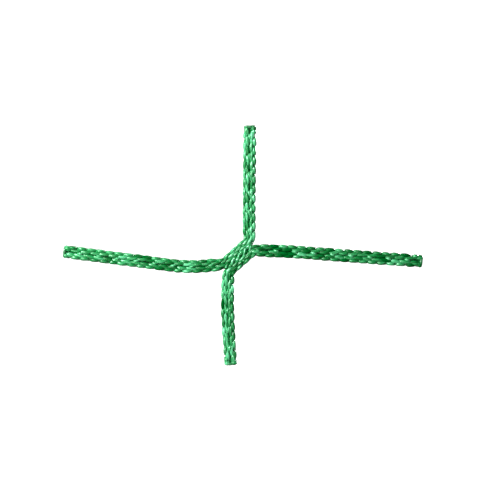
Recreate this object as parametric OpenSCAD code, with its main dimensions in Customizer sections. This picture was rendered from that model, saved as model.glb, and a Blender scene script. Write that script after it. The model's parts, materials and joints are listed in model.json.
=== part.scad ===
// One crossing of a knotless cargo climbing net, with the four cords that leave it.
//
// Each cord is knitted from four chains, two in front and two at the back, round a lay-in yarn.
// Two cords meet at the crossing: the upper one runs from the left leg to the top leg, and the
// lower one from the bottom leg to the right leg. Between their bends the two lie side by side
// and are knitted together, which makes the junction. Nothing is tied.
//
// Each leg moves in two ways: its root swings at the junction in the plane of the net, and the
// rest of the leg folds at the root's far end, out of that plane. Both hinges are bends of the
// cord itself, so the pieces on either side end in faces round the hinge's axis.
//
// The modules draw in the plane of the net: x runs right, y runs up and z comes out of the
// front. upright() stands the result up, so that +Z is up and the front faces -Y. The origin is
// the centre of the junction. Millimetres and degrees.

/* [Cord] */
// Thickness of a cord, and diameter of its sealed ends
cord_d = 5; // [5:0.1:6]
// Distance between the centres of two neighbouring chains in a cord
chain_pitch = 2.45; // [2.45:0.01:2.5]
// Diameter of one knitted chain at the middle of a stitch
chain_d = 2.4; // [2:0.05:2.4]
// Diameter of one knitted chain between two stitches
waist_d = 2; // [1.8:0.05:2.3]
// Diameter of the lay-in yarn that runs inside the four chains
lay_in_d = 0.75; // [0.5:0.05:0.8]
// Length of one stitch
stitch = 3.74; // [3.4:0.02:4]
// Length of the fused tip where a cord was cut hot
seal_length = 1.2; // [0.8:0.1:3]
// Length of the neck where the yarns run into the fused tip
neck_length = 0.4; // [0.3:0.1:1]

/* [Junction] */
// Direction of the junction's long axis
junction_angle = 41.5; // [38:0.5:48]
// Width across the junction's four chains
junction_w = 7.9; // [7.7:0.1:8.3]
// Width of a chain where it is squeezed in the junction
squeezed_w = 1.85; // [1.6:0.05:1.9]
// Radius to which the chains bend as they leave the junction
bend_r = 4; // [3:0.5:4.5]
// Diameter of the binder yarn that laces the two cords together
binder_d = 0.8; // [0.5:0.05:1]
// Half waves of the binder along the junction
binder_waves = 4; // [3:1:5]

/* [Left leg] */
// Place along the junction's axis where the cord turns off
left_turn = -6.6; // [-8:0.1:-6]
// Direction in which the cord leaves the junction
left_root_angle = 185.5; // [176:0.1:190]
// Direction of the leg beyond its root
left_angle = 172.6; // [168:0.1:192]
// Length of the leg beyond its root
left_length = 50.1; // [20:0.1:90]

/* [Top leg] */
// Place along the junction's axis where the cord turns off
top_turn = 7.5; // [6:0.1:8]
// Direction in which the cord leaves the junction
top_root_angle = 90; // [84:0.1:96]
// Direction of the leg beyond its root
top_angle = 89.5; // [80:0.1:100]
// Length of the leg beyond its root
top_length = 32.1; // [20:0.1:90]

/* [Bottom leg] */
// Place along the junction's axis where the cord turns off
bottom_turn = -7.1; // [-8:0.1:-6]
// Direction in which the cord leaves the junction
bottom_root_angle = 268; // [262:0.1:274]
// Direction of the leg beyond its root
bottom_angle = 273.6; // [260:0.1:280]
// Length of the leg beyond its root
bottom_length = 23.1; // [20:0.1:90]

/* [Right leg] */
// Place along the junction's axis where the cord turns off
right_turn = 6.3; // [6:0.1:8]
// Direction in which the cord leaves the junction
right_root_angle = -2; // [-8:0.1:4]
// Direction of the leg beyond its root
right_angle = -4.2; // [-12:0.1:8]
// Length of the leg beyond its root
right_length = 53.6; // [20:0.1:90]

/* [Hinges] */
// Distance from where a cord turns off the junction to the axis on which its root swings
stub_length = 4.6; // [4.5:0.1:6]
// Angle by which a leg folds to the front or to the back
fold_limit = 70; // [30:5:80]
// Gap between the faces of a hinge
hinge_gap = 0.15; // [0.1:0.05:0.3]

/* [Hidden] */
$fn = 48;
LEGS = ["left", "top", "bottom", "right"];
CORDS = ["upper", "lower"];
LAYERS = ["front", "back"];
ROWS = ["edge", "seam"];
CHAINS = [for (layer = LAYERS, row = ROWS) str(layer, "_", row, "_chain")];

CHAIN_GREEN = "#1f9a4c";
LAY_IN_GREEN = "#45b872";
SEAL_GREEN = "#14713a";

root_length = 2.5 * stitch;
neck_d = cord_d - 0.4;
layer_z = chain_pitch / 2;
knuckle_r = (chain_pitch + chain_d) / 2 + 0.05;
socket_r = knuckle_r + hinge_gap;
swept_half_w = knuckle_r + hinge_gap / 3;
squeezed_depth = chain_pitch - 0.25;
binder_z = layer_z + squeezed_depth / 2 + binder_d / 2 + 0.06;
binder_half_wave = 3.3;
binder_arc = 75;
binder_bead_d = binder_d + 0.1;
overlap = 0.1; // how far a straight stretch runs into a bend
straight_scale = 0.98; // keeps the straight stretches just inside the bends they run into
reach = 200; // longer than any part of a hinge

// The cord a leg belongs to, the place where it turns off, and its two directions and length
function spec(leg) =
    leg == "left" ? ["upper", left_turn, left_root_angle, left_angle, left_length]
    : leg == "top" ? ["upper", top_turn, top_root_angle, top_angle, top_length]
    : leg == "bottom" ? ["lower", bottom_turn, bottom_root_angle, bottom_angle, bottom_length]
    : ["lower", right_turn, right_root_angle, right_angle, right_length];
function cord_of(leg) = spec(leg)[0];
function root_angle(leg) = spec(leg)[2];
function leg_angle(leg) = spec(leg)[3];
function leg_length(leg) = spec(leg)[4];

function along(angle) = [cos(angle), sin(angle)];
function left_of(angle) = [-sin(angle), cos(angle)];
function cross_z(a, b) = a.x * b.y - a.y * b.x;
// The point where the line through p in direction a meets the line through q in direction b
function meet(p, a, q, b) = p + along(a) * cross_z(q - p, along(b)) / cross_z(along(a), along(b));

// The upper cord lies on the side of the junction's axis that left_of() points to
function cord_side(cord) = cord == "upper" ? 1 : -1;
// From a cord's middle, the edge chains lie away from the junction's axis and the seam chains by it
function row_side(row) = row == "edge" ? 1 : row == "seam" ? -1 : 0;
function layer_side(layer) = layer == "front" ? 1 : layer == "back" ? -1 : 0;
// 1 if a leg's edge chains lie to the left of its direction, and -1 if they lie to the right
function edge_side(leg, angle) =
    sign(left_of(angle) * left_of(junction_angle) * cord_side(cord_of(leg)));

// Centre line of the junction's row of stitches, at the row's place in the cord
function lane(cord, row) =
    left_of(junction_angle) * cord_side(cord) * junction_w * (2 + row_side(row)) / 8;
// Where a cord's middle turns off the junction, then its swing axis and its fold axis
function turn_point(leg) = lane(cord_of(leg), "middle") + along(junction_angle) * spec(leg)[1];
function swing_point(leg) = turn_point(leg) + along(root_angle(leg)) * stub_length;
function fold_point(leg) = swing_point(leg) + along(root_angle(leg)) * root_length;
// How far a root swings, anticlockwise seen from the front, until its leg lies along the junction's
// axis (the mesh is shut lengthways) or across it (the mesh is shut crossways)
function turned(angle) = angle - 360 * round(angle / 360);
function outward(leg) = junction_angle + (spec(leg)[1] < 0 ? 180 : 0);
function shut_lengthways(leg) = turned(outward(leg) - root_angle(leg));
function shut_crossways(leg) = shut_lengthways(leg) - 90 * sign(shut_lengthways(leg));

module upright() {
    rotate([90, 0, 0]) children();
}

// Puts its children at a point of the net's plane, with x in a direction and z out of the front
module place(point, angle) {
    translate([point.x, point.y, 0]) rotate([0, 0, angle]) children();
}

// A rod along x, from one x to another
module rod(d, from, to) {
    translate([from, 0, 0]) rotate([0, 90, 0]) cylinder(d = d, h = to - from);
}

// A knitted chain along x that ends at an x, and reaches back one stitch or more past x = 0
module chain(to) {
    stitches = ceil(to / stitch) + 1;
    bulges = [for (i = [0:stitches - 1], step = [[waist_d, 0], [chain_d, 0.3], [chain_d, 0.7]])
        [step[0] / 2, (i + step[1]) * stitch]];
    end = stitches * stitch;
    translate([to, 0, 0]) rotate([0, -90, 0])
        rotate_extrude() polygon(concat([[0, 0]], bulges, [[waist_d / 2, end], [0, end]]));
}

// A yarn along x that ends at an x: one of a cord's four chains, or its lay-in
module yarn(to, row, layer, side) {
    if (row == "middle") rod(lay_in_d, -stitch, to);
    else translate([0, side * row_side(row) * chain_pitch / 2, layer_side(layer) * layer_z]) chain(to);
}

// A hinge's axis lies along z for a swing and along y for a fold
module round_axis(r, fold) {
    rotate([fold ? 90 : 0, 0, 0]) cylinder(r = r, h = reach, center = true);
}

// Everything that a piece on the moving side of a hinge may fill
module knuckle_space(fold) {
    round_axis(knuckle_r, fold);
    translate([0, -reach / 2, -reach / 2]) cube(reach);
}

// The room that the moving side sweeps, as far as its limits; the fixed side stays out of it
module socket_space(limits, fold) {
    round_axis(socket_r, fold);
    for (limit = limits)
        rotate(fold ? [0, -limit, 0] : [0, 0, limit])
            translate(fold ? [0, -reach / 2, -swept_half_w] : [0, -swept_half_w, -reach / 2])
                cube(fold ? [reach, reach, 2 * swept_half_w] : [reach, 2 * swept_half_w, reach]);
}

// Sweeps a flat section, its x across the path, along three straight stretches with rounded corners
module rounded_run(points, r) {
    directions = [for (i = [0:2]) let (step = points[i + 1] - points[i]) atan2(step.y, step.x)];
    turns = [for (i = [0:1]) turned(directions[i + 1] - directions[i])];
    trims = [0, for (turn = turns) r * tan(abs(turn) / 2), 0];
    for (i = [0:2]) {
        length = norm(points[i + 1] - points[i]) - trims[i] - trims[i + 1];
        place(points[i] + along(directions[i]) * (trims[i] - overlap), directions[i])
            rotate([90, 0, 90]) linear_extrude(length + 2 * overlap) scale(straight_scale) children();
    }
    for (i = [0:1]) {
        side = sign(turns[i]);
        start = points[i + 1] - along(directions[i]) * trims[i + 1];
        centre = start + left_of(directions[i]) * side * r;
        place(centre, directions[i] + (side > 0 ? -90 : 90 + turns[i]))
            rotate_extrude(angle = abs(turns[i])) translate([r, 0]) children();
    }
}

// A yarn of the junction, from one leg's swing axis to the other's, less the room the roots need
module junction_yarn(cord, row, z) {
    ends = cord == "upper" ? ["left", "top"] : ["bottom", "right"];
    starts = [for (leg = ends)
        swing_point(leg)
        + left_of(root_angle(leg)) * edge_side(leg, root_angle(leg)) * row_side(row) * chain_pitch / 2];
    corners = [for (i = [0:1])
        meet(starts[i], root_angle(ends[i]), lane(cord, row), junction_angle)];
    difference() {
        translate([0, 0, z]) rounded_run([starts[0], corners[0], corners[1], starts[1]], bend_r) children();
        for (leg = ends)
            place(swing_point(leg), root_angle(leg))
                socket_space([shut_lengthways(leg), shut_crossways(leg)], fold = false);
    }
}

module junction_chain(cord, layer, row) {
    color(CHAIN_GREEN) upright()
        junction_yarn(cord, row, layer_side(layer) * layer_z)
            intersection() {
                circle(d = squeezed_depth);
                square([squeezed_w, chain_pitch], center = true);
            }
}

module junction_lay_in(cord) {
    color(LAY_IN_GREEN) upright() junction_yarn(cord, "middle", 0) circle(d = lay_in_d);
}

// A wave of equal arcs that laces across the seam between the two cords, caught where they meet
module binder(layer) {
    r = binder_half_wave / (2 * sin(binder_arc));
    start = -binder_waves * binder_half_wave / 2;
    color(LAY_IN_GREEN) upright()
        place([0, 0], junction_angle) translate([start, 0, layer_side(layer) * binder_z]) {
            for (i = [0:binder_waves - 1]) {
                up = i % 2 == 0 ? 1 : -1;
                translate([(i + 0.5) * binder_half_wave, -up * r * cos(binder_arc), 0])
                    rotate([0, 0, 90 * up - binder_arc])
                        rotate_extrude(angle = 2 * binder_arc) translate([r, 0]) circle(d = binder_d);
            }
            for (i = [0:binder_waves])
                translate([i * binder_half_wave, 0, 0]) sphere(d = binder_bead_d);
        }
}

// A yarn of a leg's root, from its swing axis to its fold axis
module root_yarn(leg, row, layer) {
    upright() difference() {
        place(swing_point(leg), root_angle(leg))
            intersection() {
                yarn(root_length, row, layer, edge_side(leg, root_angle(leg)));
                knuckle_space(fold = false);
            }
        place(fold_point(leg), leg_angle(leg)) socket_space([-fold_limit, fold_limit], fold = true);
    }
}

// A yarn of the leg beyond its root, from its fold axis to the neck of its sealed end
module leg_yarn(leg, row, layer) {
    upright() place(fold_point(leg), leg_angle(leg))
        intersection() {
            yarn(leg_length(leg) - seal_length - neck_length, row, layer, edge_side(leg, leg_angle(leg)));
            knuckle_space(fold = true);
        }
}

module sealed_end(leg) {
    tip = leg_length(leg) - seal_length;
    color(SEAL_GREEN) upright() place(fold_point(leg), leg_angle(leg)) {
        rod(neck_d, tip - neck_length, leg_length(leg));
        rod(cord_d, tip, leg_length(leg));
    }
}

for (cord = CORDS, layer = LAYERS, row = ROWS)
    junction_chain(cord, layer, row);
for (cord = CORDS)
    junction_lay_in(cord);
for (layer = LAYERS)
    binder(layer);
for (leg = LEGS, layer = LAYERS, row = ROWS) {
    color(CHAIN_GREEN) root_yarn(leg, row, layer);
    color(CHAIN_GREEN) leg_yarn(leg, row, layer);
}
for (leg = LEGS) {
    color(LAY_IN_GREEN) root_yarn(leg, "middle", "middle");
    color(LAY_IN_GREEN) leg_yarn(leg, "middle", "middle");
    sealed_end(leg);
}
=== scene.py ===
"""One crossing of a knotless cargo climbing net, knitted in green cord, on a white sweep.

Lengths are in millimetres until a mesh is made. The net lies in the XZ plane and its front faces
-Y. "Plan" points are (X, Z); depth is measured towards the front, so it is -Y.
"""

import json
import math

import bpy
import numpy as np
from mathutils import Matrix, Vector


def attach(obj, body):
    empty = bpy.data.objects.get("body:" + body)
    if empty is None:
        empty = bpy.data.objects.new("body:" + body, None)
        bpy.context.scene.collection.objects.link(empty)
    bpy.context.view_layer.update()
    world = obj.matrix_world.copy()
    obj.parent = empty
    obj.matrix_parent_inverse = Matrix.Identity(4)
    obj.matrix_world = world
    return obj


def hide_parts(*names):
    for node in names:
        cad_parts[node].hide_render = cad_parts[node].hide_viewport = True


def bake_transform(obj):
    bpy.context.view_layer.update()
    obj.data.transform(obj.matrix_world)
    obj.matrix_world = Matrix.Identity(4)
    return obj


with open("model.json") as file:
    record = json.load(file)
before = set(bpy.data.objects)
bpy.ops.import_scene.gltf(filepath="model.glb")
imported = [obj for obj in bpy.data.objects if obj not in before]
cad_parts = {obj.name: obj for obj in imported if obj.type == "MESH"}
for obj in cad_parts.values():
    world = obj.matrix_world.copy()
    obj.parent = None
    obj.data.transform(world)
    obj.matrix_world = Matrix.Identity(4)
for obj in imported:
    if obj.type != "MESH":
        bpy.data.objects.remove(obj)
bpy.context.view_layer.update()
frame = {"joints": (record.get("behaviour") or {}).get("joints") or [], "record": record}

MM = 0.001
rng = np.random.default_rng(7)

# ---------------------------------------------------------------- layout

JUNCTION_ANGLE = math.radians(41.5)
JUNCTION_AXIS = np.array([math.cos(JUNCTION_ANGLE), math.sin(JUNCTION_ANGLE)])
JUNCTION_LEFT = np.array([-JUNCTION_AXIS[1], JUNCTION_AXIS[0]])
CORD_LANE = 1.975  # from the junction's axis to the middle of either cord
STITCH = 3.74

CORDS = {
    "upper": {"legs": ("left", "top"), "side": 1},
    "lower": {"legs": ("bottom", "right"), "side": -1},
}

joint_at = {j["name"]: np.array([j["pos_m"][0], j["pos_m"][2]]) / MM for j in frame["joints"]}
mounts = {m["name"]: m for m in frame["record"]["mounts"]}


def unit(v):
    return v / np.linalg.norm(v)


def tip(leg):
    """The outer face of a leg's sealed end, and the direction in which the leg leaves, in plan."""
    mount = mounts[leg + "_cord_end"]
    out = np.array([mount["axis"][0], mount["axis"][2]])
    centre = np.array([mount["pos_m"][0], mount["pos_m"][2]]) / MM
    return centre + out * mount["dims"]["length_mm"] / 2, out


def corner(leg, side):
    """Where the line of a leg's root meets the middle of its cord's lane in the junction."""
    swing, fold = joint_at[leg + "_swing"], joint_at[leg + "_fold"]
    back = unit(swing - fold)
    lane = JUNCTION_LEFT * side * CORD_LANE
    steps = np.linalg.solve(np.column_stack([back, -JUNCTION_AXIS]), lane - swing)
    return swing + back * steps[0]


def smooth(values, step, sigma):
    """A Gaussian average along evenly spaced points, with the ends run on in a straight line."""
    reach = int(4 * sigma / step)
    ramp = np.arange(1, reach + 1)[:, None]
    before = values[0] + (values[0] - values[1]) * ramp[::-1]
    after = values[-1] + (values[-1] - values[-2]) * ramp
    padded = np.vstack([before, values, after])
    weights = np.exp(-0.5 * (np.arange(-reach, reach + 1) * step / sigma) ** 2)
    weights /= weights.sum()
    return np.column_stack([np.convolve(c, weights, "valid") for c in padded.T])


def smoothstep(share):
    share = np.clip(share, 0, 1)
    return share * share * (3 - 2 * share)


def between(first, second, share):
    """The value that lies a share of the way from the first to the second."""
    return first + (second - first) * share


class Cord:
    """A cord's middle line in plan, from the tip of one leg through the junction to the other's."""

    STEP = 0.1  # between neighbouring points of the line
    BEND_SIGMA = 0.8  # how softly it bends beside the junction
    LEG_SIGMA = 5.0  # how softly it bends elsewhere
    LEG_START = 12.0  # from the cord's middle to where the softer bending begins
    LEG_BLEND = 10.0  # the length over which one way of bending gives place to the other
    SQUEEZE_PAST = 1.0  # how far the squeeze reaches beyond the corners of the junction
    SQUEEZE_SIGMA = 1.6  # how softly it sets in

    def __init__(self, name):
        self.name = name
        self.legs = CORDS[name]["legs"]
        self.side = CORDS[name]["side"]
        first, last = self.legs
        corners = [
            tip(first)[0], joint_at[first + "_fold"], joint_at[first + "_swing"],
            corner(first, self.side), corner(last, self.side),
            joint_at[last + "_swing"], joint_at[last + "_fold"], tip(last)[0],
        ]
        lengths = [np.linalg.norm(b - a) for a, b in zip(corners, corners[1:])]
        run = np.concatenate([[0], np.cumsum(lengths)])
        at = np.arange(0, run[-1], self.STEP)
        line = np.column_stack([np.interp(at, run, [c[i] for c in corners]) for i in (0, 1)])
        middle = (run[3] + run[4]) / 2
        in_leg = smoothstep((np.abs(at - middle) - self.LEG_START) / self.LEG_BLEND)[:, None]
        tight_bends = smooth(line, self.STEP, self.BEND_SIGMA)
        soft_bends = smooth(line, self.STEP, self.LEG_SIGMA)
        line = between(tight_bends, soft_bends, in_leg)
        line[0], line[-1] = corners[0], corners[-1]
        steps = np.linalg.norm(np.diff(line, axis=0), axis=1)
        self.s = np.concatenate([[0], np.cumsum(steps)])
        self.length = self.s[-1]
        self.line = line
        tangent = np.gradient(line, self.s, axis=0)
        tangent /= np.linalg.norm(tangent, axis=1)[:, None]
        self.edge = np.column_stack([-tangent[:, 1], tangent[:, 0]]) * self.side
        self.middle = self.nearest((corner(first, self.side) + corner(last, self.side)) / 2)
        start, end = (self.nearest(corner(leg, self.side)) for leg in self.legs)
        inside = (self.s > start - self.SQUEEZE_PAST) & (self.s < end + self.SQUEEZE_PAST)
        self.squeeze = smooth(inside[:, None].astype(float), self.STEP, self.SQUEEZE_SIGMA)[:, 0]

    def nearest(self, point):
        """The length along the cord at its nearest approach to a point in plan."""
        return self.s[np.argmin(np.linalg.norm(self.line - point, axis=1))]

    def half_root(self, leg):
        return self.nearest((joint_at[leg + "_swing"] + joint_at[leg + "_fold"]) / 2)

    def place(self, s, across, depth):
        """Points in the row frame, in mm: along the cord, across it towards its edge, and in depth."""
        x, z = (np.interp(s, self.s, c) for c in self.line.T)
        ex, ez = (np.interp(s, self.s, c) for c in self.edge.T)
        return np.column_stack([x + ex * across, -depth, z + ez * across])

    def squeezed(self, s):
        """0 in the legs and 1 in the junction."""
        return np.interp(s, self.s, self.squeeze)


# ---------------------------------------------------------------- materials

YARN_ROUGHNESS = 0.38
YARN_TINT = (0.6, 1.0, 0.75, 1)
STREAK_CONTRAST = 1.2
STREAK_RELIEF = 0.08  # the height of the finest ridges, in mm
GLOSS_SHADES = (-0.26, 0.06)  # the yarn's gloss grows between these shades
GLOSS = (0.0, 0.8)  # and these are its values there
FUSED_ROUGHNESS = 0.35
BLOTCHES_PER_METRE = 900.0
BLOTCH_RELIEF = 0.1


def new_material(name):
    """A material, with its node tree and its shader."""
    material = bpy.data.materials.new(name)
    material.use_nodes = True
    return material, material.node_tree, material.node_tree.nodes["Principled BSDF"]


def noise(tree, vector, scale, detail):
    """The output of a noise texture."""
    texture = tree.nodes.new("ShaderNodeTexNoise")
    texture.inputs["Scale"].default_value = scale
    texture.inputs["Detail"].default_value = detail
    tree.links.new(vector, texture.inputs["Vector"])
    return texture.outputs["Fac"]


def attribute(tree, name):
    """The node that reads one of a mesh's own attributes."""
    node = tree.nodes.new("ShaderNodeAttribute")
    node.attribute_name = name
    return node


def relief(tree, height, strength, distance):
    """Gives the shader bumps of a height in mm, where the texture says."""
    bump = tree.nodes.new("ShaderNodeBump")
    bump.inputs["Strength"].default_value = strength
    bump.inputs["Distance"].default_value = distance * MM
    tree.links.new(height, bump.inputs["Height"])
    tree.links.new(bump.outputs["Normal"], tree.nodes["Principled BSDF"].inputs["Normal"])


def yarn_material(name, dark, mid, light):
    """Bright multifilament yarn: streaks along its length, with a shade from place to place that is
    partly random tone and partly painted light and shade per leg.
    """
    material, tree, shader = new_material(name)
    streaks = noise(tree, attribute(tree, "run").outputs["Vector"], scale=1.0, detail=3.0)
    shade = attribute(tree, "shade").outputs["Fac"]
    tone = tree.nodes.new("ShaderNodeMath")
    tone.operation = "MULTIPLY_ADD"
    tone.inputs[1].default_value = STREAK_CONTRAST
    tree.links.new(streaks, tone.inputs[0])
    tree.links.new(shade, tone.inputs[2])
    ramp = tree.nodes.new("ShaderNodeValToRGB")
    stops = ramp.color_ramp.elements
    stops[0].position, stops[0].color = 0.4, (*dark, 1)
    stops[1].position, stops[1].color = 0.95, (*light, 1)
    stops.new(0.65).color = (*mid, 1)
    tree.links.new(tone.outputs[0], ramp.inputs["Fac"])
    tree.links.new(ramp.outputs["Color"], shader.inputs["Base Color"])
    relief(tree, streaks, strength=1.0, distance=STREAK_RELIEF)
    shader.inputs["Roughness"].default_value = YARN_ROUGHNESS
    # Darker yarn shines less, and without that it would look grey; so the legs painted darker shine
    # less too.
    gloss = tree.nodes.new("ShaderNodeMapRange")
    gloss.inputs["From Min"].default_value, gloss.inputs["From Max"].default_value = GLOSS_SHADES
    gloss.inputs["To Min"].default_value, gloss.inputs["To Max"].default_value = GLOSS
    tree.links.new(shade, gloss.inputs["Value"])
    tree.links.new(gloss.outputs["Result"], shader.inputs["Specular IOR Level"])
    shader.inputs["Specular Tint"].default_value = YARN_TINT
    return material


def fused_material(name, dark, light):
    """Yarn ends melted together: darker, smoother and blotchy."""
    material, tree, shader = new_material(name)
    where = tree.nodes.new("ShaderNodeTexCoord")
    blotches = noise(tree, where.outputs["Object"], scale=BLOTCHES_PER_METRE, detail=4.0)
    ramp = tree.nodes.new("ShaderNodeValToRGB")
    ramp.color_ramp.elements[0].color = (*dark, 1)
    ramp.color_ramp.elements[1].color = (*light, 1)
    tree.links.new(blotches, ramp.inputs["Fac"])
    tree.links.new(ramp.outputs["Color"], shader.inputs["Base Color"])
    relief(tree, blotches, strength=0.4, distance=BLOTCH_RELIEF)
    shader.inputs["Roughness"].default_value = FUSED_ROUGHNESS
    return material


CHAIN_YARN = yarn_material(
    "chain_yarn", dark=(0.0, 0.055, 0.007), mid=(0.0, 0.155, 0.03), light=(0.07, 0.36, 0.17))
# Painted highlight: the lay-in yarn, which the binder shares, is painted a lighter green than the
# chain yarn, for the bright dashes down a cord's middle.
LAY_IN_YARN = yarn_material(
    "lay_in_yarn", dark=(0.0, 0.08, 0.014), mid=(0.01, 0.20, 0.055), light=(0.12, 0.42, 0.23))
FUSED = fused_material("fused_tip", dark=(0.0, 0.05, 0.012), light=(0.01, 0.16, 0.04))

# ---------------------------------------------------------------- yarns

AROUND = 30  # points round a yarn
PLIES = 6  # strands that show round a yarn
PLY_GROOVE = 0.13  # how deep the groove between two plies is, as a share of the yarn's radius
PLY_CREST = 0.052  # and how far a ply stands proud
PLY_TWIST = 0.3  # radians that the plies turn in each millimetre
STREAKS_AROUND = 3.5  # how finely a yarn is streaked round its girth
STREAKS_ALONG = 0.35  # and along its length, which makes the streaks long and thin
FLATTEN = 0.88  # how much a yarn is flattened in the cord's depth


def frames(points):
    """Two unit vectors across a path at each of its points, carried along it without twisting."""
    tangents = np.gradient(points, axis=0)
    tangents /= np.linalg.norm(tangents, axis=1)[:, None]
    across = np.empty_like(points)
    guess = np.array([0.3, 0.2, 1.0])  # a direction that no yarn starts in
    for i, t in enumerate(tangents):
        guess = guess - t * (guess @ t)
        guess /= np.linalg.norm(guess)
        across[i] = guess
    return across, np.cross(tangents, across)


def closed_tube(name, rings, first_centre, last_centre, material):
    """A mesh object through rings of points, in mm, with a point to close each end."""
    count, around = rings.shape[:2]
    verts = np.vstack([rings.reshape(-1, 3), first_centre, last_centre]) * MM
    i, k = np.meshgrid(np.arange(count - 1), np.arange(around), indexing="ij")
    k2 = (k + 1) % around
    quads = np.stack([i * around + k, i * around + k2,
                      (i + 1) * around + k2, (i + 1) * around + k], axis=-1).reshape(-1, 4)
    start, end, last = count * around, count * around + 1, (count - 1) * around
    caps = [(start, (j + 1) % around, j) for j in range(around)]
    caps += [(end, last + j, last + (j + 1) % around) for j in range(around)]
    mesh = bpy.data.meshes.new(name)
    mesh.from_pydata(verts.tolist(), [], quads.tolist() + caps)
    mesh.polygons.foreach_set("use_smooth", [True] * len(mesh.polygons))
    mesh.materials.append(material)
    made = bpy.data.objects.new(name, mesh)
    bpy.context.scene.collection.objects.link(made)
    return made


class Yarn:
    """A swept yarn, worked out over its whole length so that it can be divided without a seam."""

    def __init__(self, points, radius, shade, flatten=FLATTEN):
        a, b = frames(points)
        run = np.concatenate([[0], np.cumsum(np.linalg.norm(np.diff(points, axis=0), axis=1))])
        turn = np.arange(AROUND) * 2 * math.pi / AROUND
        twisted = turn[None] + PLY_TWIST * run[:, None]
        plies = np.abs(np.cos(PLIES / 2 * twisted))
        r = radius[:, None] * between(1 - PLY_GROOVE, 1 + PLY_CREST, plies)
        offset = (r * np.cos(turn))[..., None] * a[:, None]
        offset = offset + (r * np.sin(turn))[..., None] * b[:, None]
        offset[..., 1] *= flatten
        self.rings = points[:, None] + offset
        self.centres = points
        self.shade = shade
        self.run = np.stack([
            np.cos(twisted) * STREAKS_AROUND,
            np.sin(twisted) * STREAKS_AROUND,
            np.repeat(run[:, None] * STREAKS_ALONG, AROUND, axis=1),
        ], axis=-1)

    def piece(self, name, first, last, material):
        """A mesh object of the stations from first to last, closed at both ends."""
        stations = slice(first, last + 1)
        made = closed_tube(
            name, self.rings[stations], self.centres[first], self.centres[last], material)
        shade = np.append(np.repeat(self.shade[stations], AROUND), [0, 0]).astype(np.float32)
        run = np.vstack([self.run[stations].reshape(-1, 3), self.run[first][:1], self.run[last][:1]])
        made.data.attributes.new("shade", "FLOAT", "POINT").data.foreach_set("value", shade)
        made.data.attributes.new("run", "FLOAT_VECTOR", "POINT").data.foreach_set(
            "vector", run.astype(np.float32).ravel())
        return made


def wander(count, per, size):
    """Smooth random values for a yarn's stations, one fresh value every so many stations."""
    knots = rng.normal(0, size, count // per + 3)
    return np.interp(np.arange(count) / per, np.arange(len(knots)), knots)


STATIONS = 26  # along one stitch
END_MARGIN = 0.45  # where the yarns stop, inside the sealed ends

LOOP_REACH = 0.68 * STITCH  # how far a loop runs before and behind its own place
LEAN_OUT = 0.5  # share of its width that it leans outwards, low to keep the cord's edges straight
LEAN_IN = 1.5  # and inwards, high to close the gap between the two rows
LEAN_SKEW = 0.3  # makes a loop lean sooner than it straightens
LOOP_TILT = 0.25  # how much deeper one end of a loop lies than the other
YARN_R = 0.68
YARN_SWELL = 0.08  # what the radius gains at the middle of a loop's two sides
ROW_STAGGER = 2.6  # how far an edge row's stitches run ahead of its seam row's, in radians
LAYER_STAGGER = 0.3  # and the front rows' ahead of the cord's middle, the back rows' behind it

# The first number holds in a leg, the second in the junction, where the chains are squeezed.
CHAIN_OFFSET = {"edge": (1.58, 1.15), "seam": (1.58, 1.25)}  # from the cord's middle, across it
CHAIN_DEPTH = (1.2, 1.344)  # from the cord's middle, towards its face
LOOP_WIDTH = (0.52, 0.48)  # how far a loop leans across the cord
LOOP_LIFT = (0.52, 0.62)  # how far it rises over its neighbours and dips under them
RADIUS_LEFT = (1, 0.9)  # share of the yarn's radius

# Shares of the same measures at a tip, where the loops close up into one thick strand.
TIP_OFFSET = 0.85
TIP_SWELL = 1.6

# How uneven the knitting is: radians for the turn, and shares of the other measures.
UNEVEN = {"turn": 0.15, "reach": 0.07, "width": 0.14, "lift": 0.12, "radius": 0.05, "shade": 0.14}

# Painted light and shade: how much paler (above 0) or darker (below 0) each leg's yarn is painted, and
# so how much glossier or duller it is, for how the light falls on that leg.
LEG_PAINTED_LIGHT = {"left": 0.0, "top": 0.10, "bottom": 0.05, "right": -0.09}
LEG_PAINTED_LIGHT_START = 10.0  # from the cord's middle to where a leg has its full shade


def leg_painted_light(cord, own):
    """Painted light and shade per leg: the yarn of some legs is painted paler and of others darker,
    for how the light falls on each leg.
    """
    first, last = cord.legs
    along = np.clip((own - cord.middle) / LEG_PAINTED_LIGHT_START, -1, 1)
    return np.where(along < 0, LEG_PAINTED_LIGHT[first], LEG_PAINTED_LIGHT[last]) * np.abs(along)


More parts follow.
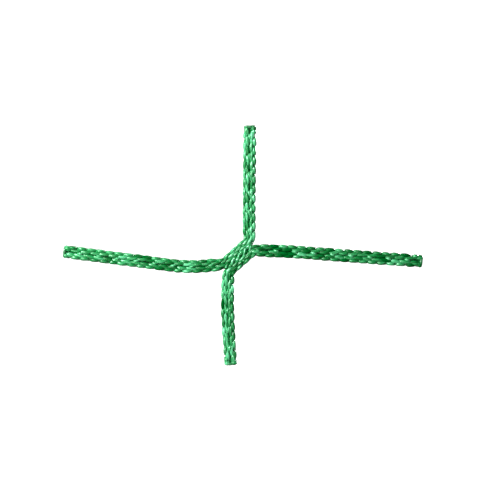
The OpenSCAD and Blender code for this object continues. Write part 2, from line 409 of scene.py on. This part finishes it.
def chain_yarn(cord, row, layer):
    """A pillar of loops, each drawn through the one before it; returns it with its own lengths."""
    row_side = 1 if row == "edge" else -1
    layer_side = 1 if layer == "front" else -1
    own = np.arange(END_MARGIN, cord.length - END_MARGIN, STITCH / STATIONS)
    count = len(own)
    # The seam rows of the two cords are half a stitch apart, so that their loops interlock.
    turn = (own - cord.middle) * 2 * math.pi / STITCH + LAYER_STAGGER * layer_side
    turn += 0.5 * math.pi * cord.side + (0 if row == "seam" else ROW_STAGGER)
    turn += wander(count, STATIONS, UNEVEN["turn"])
    loops = smoothstep((np.minimum(own, cord.length - own) - END_MARGIN) / (2 * LOOP_REACH))
    reach = LOOP_REACH * loops * (1 + wander(count, STATIONS // 2, UNEVEN["reach"]))
    s = own - reach * np.cos(turn)
    tight = cord.squeezed(s)
    width = between(*LOOP_WIDTH, tight) * loops
    width *= 1 + wander(count, STATIONS // 2, UNEVEN["width"])
    lean = np.sin(turn) + LEAN_SKEW * np.sin(2 * turn)
    lean *= np.where(lean < 0, LEAN_OUT, LEAN_IN)
    offset = between(*CHAIN_OFFSET[row], tight) * between(TIP_OFFSET, 1, loops)
    lift = between(*LOOP_LIFT, tight) * loops
    lift *= 1 + wander(count, STATIONS // 2, UNEVEN["lift"])
    depth = between(*CHAIN_DEPTH, tight) - lift * np.cos(2 * turn)
    depth += LOOP_TILT * loops * np.cos(turn)
    points = cord.place(s, row_side * (offset - width * lean), layer_side * depth)
    radius = (YARN_R + YARN_SWELL * np.sin(turn) ** 2) * between(*RADIUS_LEFT, tight)
    radius *= between(TIP_SWELL, 1, loops) * (1 + wander(count, STATIONS // 3, UNEVEN["radius"]))
    # Painted light and shade per leg, added to the yarn's random tone.
    shade = leg_painted_light(cord, own) + wander(count, STATIONS // 2, UNEVEN["shade"])
    return Yarn(points, radius, shade), own


BUNDLE_R = 1.75
BUNDLE_FLATTEN = 0.5
BUNDLE_STEP = 0.25
BUNDLE_SHIFT = -0.35  # in the junction, away from its edge, which is left to the chains
# Painted shade: the bundle is painted darker than the chains, for the shade in the gaps between them
# where it shows.
BUNDLE_PAINTED_SHADE = -0.1


def lay_in_bundle(cord):
    """The straight lay-in yarns that fill a cord inside its four chains."""
    own = np.arange(END_MARGIN, cord.length - END_MARGIN, BUNDLE_STEP)
    count = len(own)
    points = cord.place(own, BUNDLE_SHIFT * cord.squeezed(own), np.zeros(count))
    shade = np.full(count, BUNDLE_PAINTED_SHADE)
    return Yarn(points, np.full(count, BUNDLE_R), shade, flatten=BUNDLE_FLATTEN), own


LAY_IN_WAVE = 2 * STITCH  # along the cord, from the front to the front again
LAY_IN_STATIONS = 48  # along one wave
LAY_IN_START = 0.5  # where in its wave it is at the end of the cord, in radians
LAY_IN_DEPTH = (2.15, 1.3975)  # how far it comes out of the middle, in a leg and in the junction
LAY_IN_SWAY = 0.35
LAY_IN_R = 0.5
# Painted highlight: the lay-in and the binder are painted a little paler still.
THIN_PAINTED_HIGHLIGHT = 0.1
UNEVEN_THIN = {"radius": 0.06, "shade": 0.05}


def thin_yarn(points, radius, per):
    """A lay-in or a binder, whose radius takes a fresh value every so many stations."""
    radius = radius * (1 + wander(len(points), per, UNEVEN_THIN["radius"]))
    shade = THIN_PAINTED_HIGHLIGHT + wander(len(points), 12, UNEVEN_THIN["shade"])
    return Yarn(points, radius, shade)


def lay_in_yarn(cord):
    """The yarn between a cord's four chains, which comes to the front and goes to the back in turn."""
    own = np.arange(END_MARGIN, cord.length - END_MARGIN, LAY_IN_WAVE / LAY_IN_STATIONS)
    phase = own * 2 * math.pi / LAY_IN_WAVE + LAY_IN_START
    depth = between(*LAY_IN_DEPTH, cord.squeezed(own)) * np.cos(phase)
    across = LAY_IN_SWAY * np.sin(phase)
    return thin_yarn(cord.place(own, across, depth), LAY_IN_R, per=8), own


def divide(cord, yarn, own, tag, material, ending="yarn"):
    """Cuts a yarn at the junction's middle and at each root's."""
    first, last = cord.legs
    cuts = [cord.half_root(first), cord.middle, cord.half_root(last)]
    marks = [0, *(int(np.searchsorted(own, c)) for c in cuts), len(own) - 1]
    parts = [(first, "leg"), (first, "root"), (last, "root"), (last, "leg")]
    for (leg, part), start, end in zip(parts, marks, marks[1:]):
        node = f"{leg}_{part}_{tag}"
        made = yarn.piece(f"{node}_{ending}", start, end, material)
        if part == "root":
            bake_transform(made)
            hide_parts(f"junction_{cord.name}_{tag}", node)
        else:
            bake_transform(made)
            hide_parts(node)


BINDER_WAVE = 3.3  # along the seam, from one crossing to the next in the same direction
BINDER_WAVES = 4
BINDER_STATIONS = 280
BINDER_SWAY = 1.1  # how far it crosses the seam to either side, and leans along it as it does
BINDER_DEPTH = 1.3  # where it lies, on average
BINDER_LIFT = 0.95  # how far it comes out of that and goes back in
BINDER_R = 0.45


def binder(layer):
    """The yarn that laces the two cords together down the junction's middle."""
    layer_side = 1 if layer == "front" else -1
    phase = np.linspace(-1, 1, BINDER_STATIONS) * BINDER_WAVES * math.pi
    across = BINDER_SWAY * np.sin(phase)
    along = phase * BINDER_WAVE / (2 * math.pi) + across
    depth = BINDER_DEPTH + BINDER_LIFT * np.cos(phase)
    plan = along[:, None] * JUNCTION_AXIS + across[:, None] * JUNCTION_LEFT
    points = np.column_stack([plan[:, 0], -layer_side * depth, plan[:, 1]])
    yarn = thin_yarn(points, BINDER_R, per=10)
    made = yarn.piece(f"junction_{layer}_binder_yarn", 0, BINDER_STATIONS - 1, LAY_IN_YARN)
    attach(made, "junction")
    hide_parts(f"junction_{layer}_binder")


TIP_AROUND = 72  # points round a tip
TIP_R = 2.42
TIP_CORNERS = 0.05  # how far its four corners stand out, as a share of its radius
TIP_UNEVEN = 0.04  # how uneven its outline is, as a share of its radius
FACE_RINGS = 14
FACE_RECESS = 0.1  # how far the face lies inside the CAD part's, between its beads
BEADS = 26  # melted yarn ends in the face
BEAD_SPREAD = 1.9  # from the middle of the face
BEAD_R = 0.42
BEAD_HEIGHT = 0.16


def wander_round(turn):
    """Smooth random values round a circle, between about -1 and 1."""
    waves = [(n, rng.uniform(0, 2 * math.pi)) for n in (2, 3, 5, 7, 9)]
    return sum(np.cos(n * turn + start) for n, start in waves) / 3


def sealed_end(leg):
    """The fused tip of a leg: a skin with four corners, and the melted yarn ends in its face."""
    end, out = tip(leg)
    side = np.array([-out[1], out[0]])
    turn = np.arange(TIP_AROUND) * 2 * math.pi / TIP_AROUND
    # Share of the radius, and place along the leg from its tip, from the outer face inwards.
    profile = [(share, 0.0) for share in np.linspace(0.06, 0.84, FACE_RINGS)]
    profile += [(0.9, -0.03), (0.96, -0.12), (1.0, -0.3), (1.0, -0.5), (1.0, -0.7)]
    profile += [(0.95, -1.0), (0.6, -1.2)]
    outline = TIP_R * (1 - TIP_CORNERS * np.cos(4 * turn))
    outline *= 1 + TIP_UNEVEN * wander_round(turn)
    beads = rng.uniform(-1, 1, (BEADS, 2)) * BEAD_SPREAD
    rings = []
    for share, at in profile:
        across = share * outline * np.cos(turn)
        depth = share * outline * np.sin(turn)
        gap = np.hypot(across[:, None] - beads[:, 0], depth[:, None] - beads[:, 1])
        height = BEAD_HEIGHT * np.exp(-(gap / BEAD_R) ** 2).max(axis=1)
        proud = at + height - FACE_RECESS
        plan = end + out * proud[:, None] + side * across[:, None]
        rings.append(np.column_stack([plan[:, 0], depth, plan[:, 1]]))
    face, inside = end - out * 0.05, end - out * 1.1
    made = closed_tube(leg + "_sealed_end_skin", np.array(rings),
                       [face[0], 0, face[1]], [inside[0], 0, inside[1]], FUSED)
    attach(made, leg + "_leg")
    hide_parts(leg + "_sealed_end")


for cord in (Cord("upper"), Cord("lower")):
    for layer in ("front", "back"):
        for row in ("edge", "seam"):
            yarn, own = chain_yarn(cord, row, layer)
            divide(cord, yarn, own, f"{layer}_{row}_chain", CHAIN_YARN)
    yarn, own = lay_in_yarn(cord)
    divide(cord, yarn, own, "lay_in", LAY_IN_YARN)
    yarn, own = lay_in_bundle(cord)
    divide(cord, yarn, own, "lay_in", CHAIN_YARN, ending="bundle")
for layer in ("front", "back"):
    binder(layer)
for leg in ("left", "top", "bottom", "right"):
    sealed_end(leg)

# ---------------------------------------------------------------- stage

def white_to_camera(tree, strength, otherwise):
    """Pure white where the camera looks at it, but dim enough to leave the yarn its shadows."""
    path = tree.nodes.new("ShaderNodeLightPath")
    glow = tree.nodes.new("ShaderNodeMath")
    glow.operation = "MULTIPLY_ADD"
    glow.inputs[1].default_value = 1.0 - otherwise
    glow.inputs[2].default_value = otherwise
    tree.links.new(path.outputs["Is Camera Ray"], glow.inputs[0])
    tree.links.new(glow.outputs[0], strength)


def sweep():
    """A white floor that curves up into a white wall behind the net."""
    floor_z, bend_y, bend_r, wall_top, half_width = -0.16, 0.45, 0.3, 1.4, 2.5
    profile = [(-1.5, floor_z), (bend_y, floor_z)]
    for angle in np.linspace(0.1, 1.5, 12):
        profile.append((bend_y + bend_r * math.sin(angle), floor_z + bend_r * (1 - math.cos(angle))))
    profile.append((bend_y + bend_r + 0.01, wall_top))
    verts = [(x, y, z) for x in (-half_width, half_width) for y, z in profile]
    n = len(profile)
    faces = [(i, n + i, n + i + 1, i + 1) for i in range(n - 1)]
    mesh = bpy.data.meshes.new("sweep")
    mesh.from_pydata(verts, [], faces)
    mesh.polygons.foreach_set("use_smooth", [True] * len(mesh.polygons))
    material, tree, shader = new_material("white_sweep")
    shader.inputs["Base Color"].default_value = (0.3, 0.3, 0.3, 1)
    shader.inputs["Roughness"].default_value = 0.9
    shader.inputs["Emission Color"].default_value = (1, 1, 1, 1)
    white_to_camera(tree, shader.inputs["Emission Strength"], otherwise=0.0)
    # Clear from below and behind, so that the net can be looked at from there too.
    geometry = tree.nodes.new("ShaderNodeNewGeometry")
    opaque = tree.nodes.new("ShaderNodeMath")
    opaque.operation = "SUBTRACT"
    opaque.inputs[0].default_value = 1.0
    tree.links.new(geometry.outputs["Backfacing"], opaque.inputs[1])
    tree.links.new(opaque.outputs[0], shader.inputs["Alpha"])
    mesh.materials.append(material)
    made = bpy.data.objects.new("sweep", mesh)
    bpy.context.scene.collection.objects.link(made)


def area_light(name, at, size, power):
    """A white disc that faces the net; the place and size are in metres and the power in watts."""
    data = bpy.data.lights.new(name, "AREA")
    data.shape = "DISK"
    data.size = size
    data.energy = power
    made = bpy.data.objects.new(name, data)
    made.location = at
    made.rotation_mode = "QUATERNION"
    made.rotation_quaternion = (-Vector(at)).to_track_quat("-Z", "Y")
    bpy.context.scene.collection.objects.link(made)


sweep()
area_light("key", at=(-0.32, -0.28, 0.21), size=0.12, power=6.8)
area_light("fill", at=(-0.25, -0.85, -0.2), size=0.3, power=7)
area_light("back_key", at=(0.3, 0.42, 0.2), size=0.18, power=9)
area_light("top", at=(0.2, 0.1, 0.8), size=0.4, power=2)

world = bpy.data.worlds.new("studio")
world.use_nodes = True
background = world.node_tree.nodes["Background"]
background.inputs["Color"].default_value = (1, 1, 1, 1)
white_to_camera(world.node_tree, background.inputs["Strength"], otherwise=0.14)
scene = bpy.context.scene
scene.world = world
scene.view_settings.view_transform = "Standard"

camera_data = bpy.data.cameras.new("camera")
camera_data.lens = 100
camera_data.sensor_width = 36
camera = bpy.data.objects.new("camera", camera_data)
camera.location = (0.0046, -0.555, 0.0028)
camera.rotation_euler = (math.radians(90), 0, 0)
scene.collection.objects.link(camera)
scene.camera = camera
